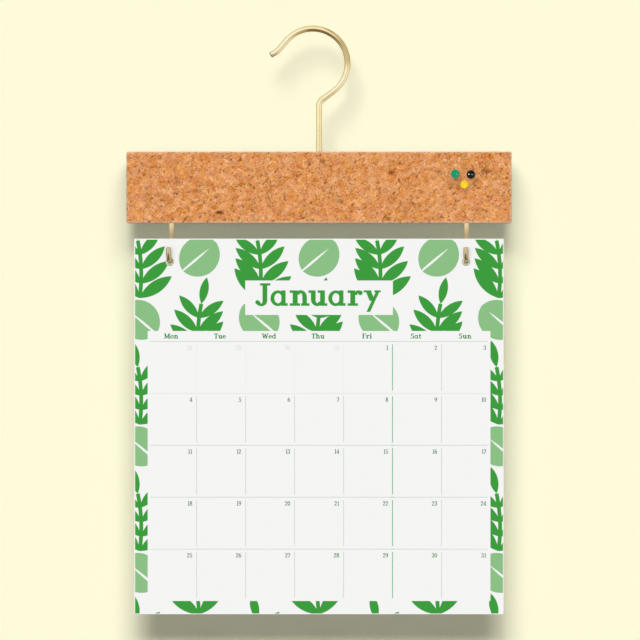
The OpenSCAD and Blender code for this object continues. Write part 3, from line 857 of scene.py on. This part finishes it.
this_month, last_month = [], []
for cell in range(DAYS * WEEKS):
    day = cell - FIRST_COLUMN + 1
    right = (cell % DAYS + 1) * column - PANEL_WIDTH / 2 - NUMBER_IN
    base = FIRST_RULE + cell // DAYS * ROW + NUMBER_DOWN + NUMBER_CAP
    lines = this_month if day > 0 else last_month
    number = day if day > 0 else LAST_MONTH_DAYS + day
    lines.append((str(number), right, base, NUMBER_CAP, FLUSH_RIGHT))
number_ink = paper_finish("soft green type ink", "#3F8049", mottle=0.03)
print_lines("day_numbers", this_month, number_ink)
faint_ink = paper_finish("faint type ink", "#E4E7E3", mottle=0.01)
print_lines("last_month_numbers", last_month, faint_ink)
for mesh in letters.values():
    bpy.data.meshes.remove(mesh)

# %% [markdown]
# ## Map pins
# A map pin is a steel needle with a plastic ball moulded on its end. The ball keeps a fine seam where
# the two halves of the mould met, and a small flat where the needle leaves it. A sphere is turned so
# that its poles lie on the needle, the pole at the cork is pressed flat, and the ring of faces round
# its middle is bevelled narrow and raised by a hair.

# %% Pin heads
SEAM_WIDTH = 0.12 * MM
SEAM_HEIGHT = 0.03 * MM
ON_SEAM = 0.01 * MM
FLAT = 0.93
HEAD_SIDES = 48
HEAD_RINGS = 30
BALL_CREASE = math.radians(40)


def pin_head(colour):
    """A moulded ball in the place of a packed pin head."""
    low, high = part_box(f"{colour}_pin_head")
    middle = (low + high) / 2
    radius = min(high - low) / 2 - SEAM_HEIGHT
    bpy.ops.object.select_all(action="DESELECT")
    bpy.ops.mesh.primitive_uv_sphere_add(segments=HEAD_SIDES, ring_count=HEAD_RINGS, radius=radius,
                                         location=middle, rotation=(math.radians(90), 0, 0))
    head = bpy.context.object
    head.name = head.data.name = f"{colour}_pin_ball"
    bpy.ops.object.transform_apply(location=True, rotation=True, scale=True)
    flat_y = middle.y + FLAT * radius
    for vertex in head.data.vertices:
        vertex.co.y = min(vertex.co.y, flat_y)
    start_editing(head)
    bpy.ops.mesh.select_all(action="DESELECT")
    bpy.ops.object.mode_set(mode="OBJECT")
    for edge in head.data.edges:
        ends = [head.data.vertices[end].co for end in edge.vertices]
        edge.select = all(abs(end.y - middle.y) < ON_SEAM for end in ends)
    bpy.ops.object.mode_set(mode="EDIT")
    bpy.ops.mesh.select_mode(type="EDGE")
    bpy.ops.mesh.bevel(offset=SEAM_WIDTH / 2, segments=1)
    bpy.ops.mesh.select_mode(type="FACE")
    bpy.ops.mesh.extrude_region_shrink_fatten(TRANSFORM_OT_shrink_fatten={"value": SEAM_HEIGHT})
    bpy.ops.mesh.select_mode(type="VERT")
    bpy.ops.object.mode_set(mode="OBJECT")
    bpy.ops.object.shade_smooth_by_angle(angle=BALL_CREASE)
    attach(head, "bar")
    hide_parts(f"{colour}_pin_head")
    print(head.name, round(head.dimensions.x / MM, 2), "mm", len(head.data.polygons), "faces")
    return head


heads = {colour: pin_head(colour) for colour in PIN_COLOURS}

# %% [markdown]
# ## Moulded plastic and steel
# The balls are polystyrene, coloured through and moulded to a gloss, so they show the lamps as small
# sharp spots. Flow in the mould leaves a faint ripple on the gloss. The needles are polished steel.

# %% Plastic and steel finishes
FLOW = 1.4 * MM
SEEP = 1.5 * MM
CLOUD = (0.94, 1.06)
RIPPLE_DEPTH = 0.1 * MM
NEEDLE_POLISH = (0.18, 0.34)
NEEDLE_GREY = "#C4C6C8"
PIN_SHADES = {"green": "#0B976C", "black": "#17130F", "yellow": "#F8CB2A"}


def plastic_finish(name, hex_code):
    """Glossy moulded polystyrene: light seeps into it, and its tone and gloss have a faint ripple."""
    material, tree, shader = new_finish(name)
    place = add_node(tree, "ShaderNodeTexCoord").outputs["Object"]
    ripple = add_node(tree, "ShaderNodeTexNoise", {"Vector": place, "Scale": 1 / FLOW, "Detail": 2})
    cloud = add_node(tree, "ShaderNodeMapRange", {"Value": ripple.outputs[0], "To Min": CLOUD[0],
                                                  "To Max": CLOUD[1]})
    colour = add_node(tree, "ShaderNodeHueSaturation", {"Color": linear(hex_code),
                                                        "Value": cloud.outputs[0]})
    skin = add_node(tree, "ShaderNodeBump", {"Height": ripple.outputs[0], "Strength": 0.02,
                                             "Distance": RIPPLE_DEPTH})
    tree.links.new(colour.outputs[0], shader.inputs["Base Color"])
    tree.links.new(skin.outputs[0], shader.inputs["Normal"])
    shader.inputs["Roughness"].default_value = 0.07
    shader.inputs["Specular IOR Level"].default_value = 0.1
    shader.inputs["Subsurface Weight"].default_value = 0.9
    shader.inputs["Subsurface Radius"].default_value = (1, 1, 1)
    shader.inputs["Subsurface Scale"].default_value = SEEP
    return material


def steel_finish():
    """Polished needle steel: a grey mirror with fine marks in its polish."""
    material, tree, shader = new_finish("polished needle steel")
    place = add_node(tree, "ShaderNodeTexCoord").outputs["Object"]
    marks = add_node(tree, "ShaderNodeTexNoise", {"Vector": place, "Scale": 1 / DRAW_MARKS, "Detail": 4})
    polish = add_node(tree, "ShaderNodeMapRange", {"Value": marks.outputs[0], "To Min": NEEDLE_POLISH[0],
                                                   "To Max": NEEDLE_POLISH[1]})
    tree.links.new(polish.outputs[0], shader.inputs["Roughness"])
    shader.inputs["Base Color"].default_value = linear(NEEDLE_GREY)
    shader.inputs["Metallic"].default_value = 1
    return material


needle_steel = steel_finish()
for colour, head in heads.items():
    head.data.materials.append(plastic_finish(f"{colour} moulded polystyrene", PIN_SHADES[colour]))
    needle = frame["nodes"][f"{colour}_pin_needle"].data
    needle.materials.clear()
    needle.materials.append(needle_steel)
print("pins", list(heads))

# %% [markdown]
# ## The wall
# The calendar hangs on a peg, a finger's breadth off a plain cream wall. The wall is seen from the front
# only: from behind it lets the eye through, so that the back of the calendar can be looked at, and it
# lets the light through to what is looked at there, but not to what that surface lights in turn. A faint
# glow, seen by the camera only, keeps the shadows on it from going black. It stands for the light of the
# room, so it is weaker where the bar and the sheets are close and shut the wall in: two Ambient Occlusion
# nodes measure how open each spot is, in every pose.

# %% Wall
CREAM = "#FEFBDA"
WALL_GLOW = 0.28
WALL_SIZE = 6
WALL_GAP = 9 * MM
# How far each node looks, the span of openness that it counts, and the share of the glow that is kept at
# both ends of that span.
SHADES = ((20 * MM, (0.55, 0.75), (0.8, 1)), (80 * MM, (0.03, 0.12), (0, 1)))
SHADE_RAYS = 16
# The wall lets rays through that count less than this: they light what the eye looks at.
FIRST_SURFACE = 1.5

bpy.ops.object.select_all(action="DESELECT")
bpy.ops.mesh.primitive_plane_add(size=WALL_SIZE, location=(0, bar_high.y + WALL_GAP, 0),
                                 rotation=(math.radians(90), 0, 0))
wall = bpy.context.object
wall.name = "wall"

paint, tree, shader = new_finish("matt wall paint")
shader.inputs["Base Color"].default_value = linear(CREAM)
shader.inputs["Emission Color"].default_value = linear(CREAM)
shader.inputs["Roughness"].default_value = 1
shader.inputs["Specular IOR Level"].default_value = 0
side = add_node(tree, "ShaderNodeNewGeometry")
path = add_node(tree, "ShaderNodeLightPath")
glow = add_node(tree, "ShaderNodeMath", {0: path.outputs["Is Camera Ray"], 1: WALL_GLOW},
                operation="MULTIPLY")
for reach, open_share, kept_share in SHADES:
    nearby = add_node(tree, "ShaderNodeAmbientOcclusion", {"Distance": reach}, samples=SHADE_RAYS)
    kept = add_node(tree, "ShaderNodeMapRange", {"Value": nearby.outputs["AO"],
                                                 "From Min": open_share[0], "From Max": open_share[1],
                                                 "To Min": kept_share[0], "To Max": kept_share[1]})
    glow = add_node(tree, "ShaderNodeMath", {0: glow.outputs[0], 1: kept.outputs[0]}, operation="MULTIPLY")
tree.links.new(glow.outputs[0], shader.inputs["Emission Strength"])
depth = add_node(tree, "ShaderNodeMath", {0: path.outputs["Diffuse Depth"],
                                          1: path.outputs["Is Shadow Ray"]}, operation="ADD")
first = add_node(tree, "ShaderNodeMath", {0: depth.outputs[0], 1: FIRST_SURFACE}, operation="LESS_THAN")
lit = add_node(tree, "ShaderNodeMath", {0: first.outputs[0], 1: path.outputs["Is Camera Ray"]},
               operation="SUBTRACT")
open_side = add_node(tree, "ShaderNodeMath", {0: side.outputs["Backfacing"], 1: lit.outputs[0]},
                     operation="MAXIMUM")
clear = add_node(tree, "ShaderNodeBsdfTransparent")
seen = add_node(tree, "ShaderNodeMixShader", {0: open_side.outputs[0], 1: shader.outputs[0],
                                              2: clear.outputs[0]})
tree.links.new(seen.outputs[0], tree.nodes["Material Output"].inputs["Surface"])
wall.data.materials.append(paint)
wall.visible_glossy = False
print("wall faces", wall.data.polygons[0].normal)

# %% [markdown]
# ## The lamps
# A product picture is lit in two parts. Two soft lamps high up draw the broad shadow below the bar and
# the sheets on the wall. Flags keep these off the calendar, which has its own soft lamps from the front
# and behind. Far lamps light every spot of a flat surface alike, so the wall stays one colour, and the
# share of each lamp says how much of that colour it gives. Two softboxes put the sparkle on the pins and
# a fill lightens them from below. The hook, the cork and the sheets throw no light back onto the wall,
# which would tint its shadows, and the brass doesn't mirror the cork.

# %% Lamps
# Each lamp's name, the direction that it hangs in, its spread in degrees, and its share.
WALL_LAMPS = [("left overhead lamp", (-0.24, -1, 0.85), 28, 0.39),
              ("right overhead lamp", (0.2, -1, 0.85), 28, 0.33)]
CALENDAR_LAMPS = [("front lamp", (-0.1, -1, 0.2), 40, 0.55),
                  ("front sky", (0, -1, 0.1), 150, 0.45),
                  ("back sky", (0, 1, 0.2), 150, 0.95)]
PIN_LAMP = ("pin fill", (0, -0.5, -1), 120, 0.2)
SOFTBOX_SIDE = math.radians(46)
SOFTBOX_SIZE = 0.4
SOFTBOX_DISTANCE = 1.5
SOFTBOX_GLARE = 330


def flag(name, pieces, state):
    """A group of pieces that a lamp's light or shadow takes in (INCLUDE) or leaves out (EXCLUDE)."""
    group = bpy.data.collections.new(name)
    for piece in pieces:
        group.objects.link(piece)
    for member in group.collection_objects:
        member.light_linking.link_state = state
    return group


def hang_lamp(name, towards, spread, share, pieces, state):
    """A soft, far lamp that gives a plane like the wall its share of light, on some pieces or off them."""
    lamp_data = bpy.data.lights.new(name, "SUN")
    lamp = bpy.data.objects.new(name, lamp_data)
    bpy.context.scene.collection.objects.link(lamp)
    direction = Vector(towards).normalized()
    lamp.rotation_euler = direction.to_track_quat("Z", "Y").to_euler()
    lamp_data.angle = math.radians(spread)
    lamp_data.energy = share * math.pi / abs(direction.y)
    lamp.visible_glossy = False
    lamp.light_linking.receiver_collection = flag(f"{name} light", pieces, state)
    print(name, "strength", round(lamp_data.energy, 2))
    return lamp


wall_lamps = [hang_lamp(*lamp, [wall], "INCLUDE") for lamp in WALL_LAMPS]
# Only the left lamp throws the hook's shadow.
wall_lamps[1].light_linking.blocker_collection = flag("right overhead lamp shadow", [hook], "EXCLUDE")
for lamp in CALENDAR_LAMPS:
    hang_lamp(*lamp, [wall], "EXCLUDE")
hang_lamp(*PIN_LAMP, heads.values(), "INCLUDE")

for name, turn in (("left softbox", -SOFTBOX_SIDE), ("right softbox", SOFTBOX_SIDE)):
    box_data = bpy.data.lights.new(name, "AREA")
    box_data.size = SOFTBOX_SIZE
    box_data.energy = SOFTBOX_GLARE * math.pi * SOFTBOX_SIZE ** 2
    softbox = bpy.data.objects.new(name, box_data)
    bpy.context.scene.collection.objects.link(softbox)
    towards = Vector((math.sin(turn), -math.cos(turn), 0))
    softbox.location = bar_middle + towards * SOFTBOX_DISTANCE
    softbox.rotation_euler = towards.to_track_quat("Z", "Y").to_euler()
    softbox.visible_diffuse = False
    softbox.light_linking.receiver_collection = flag(f"{name} light", heads.values(), "INCLUDE")
    print(name, "at", softbox.location)

for piece in (hook, cork, sheets):
    piece.visible_diffuse = False
cork.visible_glossy = False

# %% [markdown]
# ## The room around it
# The world is the rest of the studio. To the camera it is the same cream as the wall, and it gives no
# light of its own. What shines sees a pale room: white towards the front, duller at the sides and cream
# behind. A dim doorway on the right draws a fine line along the wire, and a dark table below, which ends
# on both sides, draws the brown line under it.

# %% World
# The tones of the room from the front to the back, and of the doorway from the left to the right.
ROOM = [(0, "#FFFCF0"), (0.25, "#FFFFFF"), (0.62, "#CAB784"), (0.8, "#F2E6BC")]
DOORWAY = [(0.62, "#FFFFFF"), (0.66, "#CDBE9C"), (0.76, "#CDBE9C"), (0.8, "#FFFFFF")]
TABLE = "#7A6443"
# Where the table starts and is full, down from the horizon and in from both of its ends.
TABLE_EDGE = (-0.05, -0.4)
TABLE_RIGHT = (0.44, 0.1)
TABLE_LEFT = (-0.85, -0.55)

world = bpy.data.worlds.new("studio")
bpy.context.scene.world = world
world.use_nodes = True
tree = world.node_tree
look = add_node(tree, "ShaderNodeTexCoord")
axes = add_node(tree, "ShaderNodeSeparateXYZ", {0: look.outputs["Generated"]})
behind = add_node(tree, "ShaderNodeMapRange", {"Value": axes.outputs["Y"], "From Min": -1, "From Max": 1})
walls = add_node(tree, "ShaderNodeValToRGB", {"Fac": behind.outputs[0]}, stops=ROOM)
across = add_node(tree, "ShaderNodeMapRange", {"Value": axes.outputs["X"], "From Min": -1, "From Max": 1})
doorway = add_node(tree, "ShaderNodeValToRGB", {"Fac": across.outputs[0]}, stops=DOORWAY)
room = add_node(tree, "ShaderNodeMix", {0: 1, 6: walls.outputs[0], 7: doorway.outputs[0]},
                data_type="RGBA", blend_type="MULTIPLY")
below = add_node(tree, "ShaderNodeMapRange", {"Value": axes.outputs["Z"], "From Min": TABLE_EDGE[0],
                                              "From Max": TABLE_EDGE[1]})
on_table = below
for end in (TABLE_LEFT, TABLE_RIGHT):
    within = add_node(tree, "ShaderNodeMapRange", {"Value": axes.outputs["X"], "From Min": end[0],
                                                   "From Max": end[1]})
    on_table = add_node(tree, "ShaderNodeMath", {0: on_table.outputs[0], 1: within.outputs[0]},
                        operation="MULTIPLY")
shine = add_node(tree, "ShaderNodeMix", {0: on_table.outputs[0], 6: room.outputs[2], 7: linear(TABLE)},
                 data_type="RGBA")
path = add_node(tree, "ShaderNodeLightPath")
mirrored = add_node(tree, "ShaderNodeMix", {0: path.outputs["Is Glossy Ray"], 6: [0, 0, 0, 1],
                                            7: shine.outputs[2]}, data_type="RGBA")
looked_at = add_node(tree, "ShaderNodeMath", {0: path.outputs["Is Camera Ray"],
                                              1: path.outputs["Is Transmission Ray"]}, operation="MAXIMUM")
room_colour = add_node(tree, "ShaderNodeMix", {0: looked_at.outputs[0], 6: mirrored.outputs[2],
                                               7: linear(CREAM)}, data_type="RGBA")
tree.links.new(room_colour.outputs[2], tree.nodes["Background"].inputs["Color"])
print("world", world.name, "with", len(tree.nodes), "nodes")
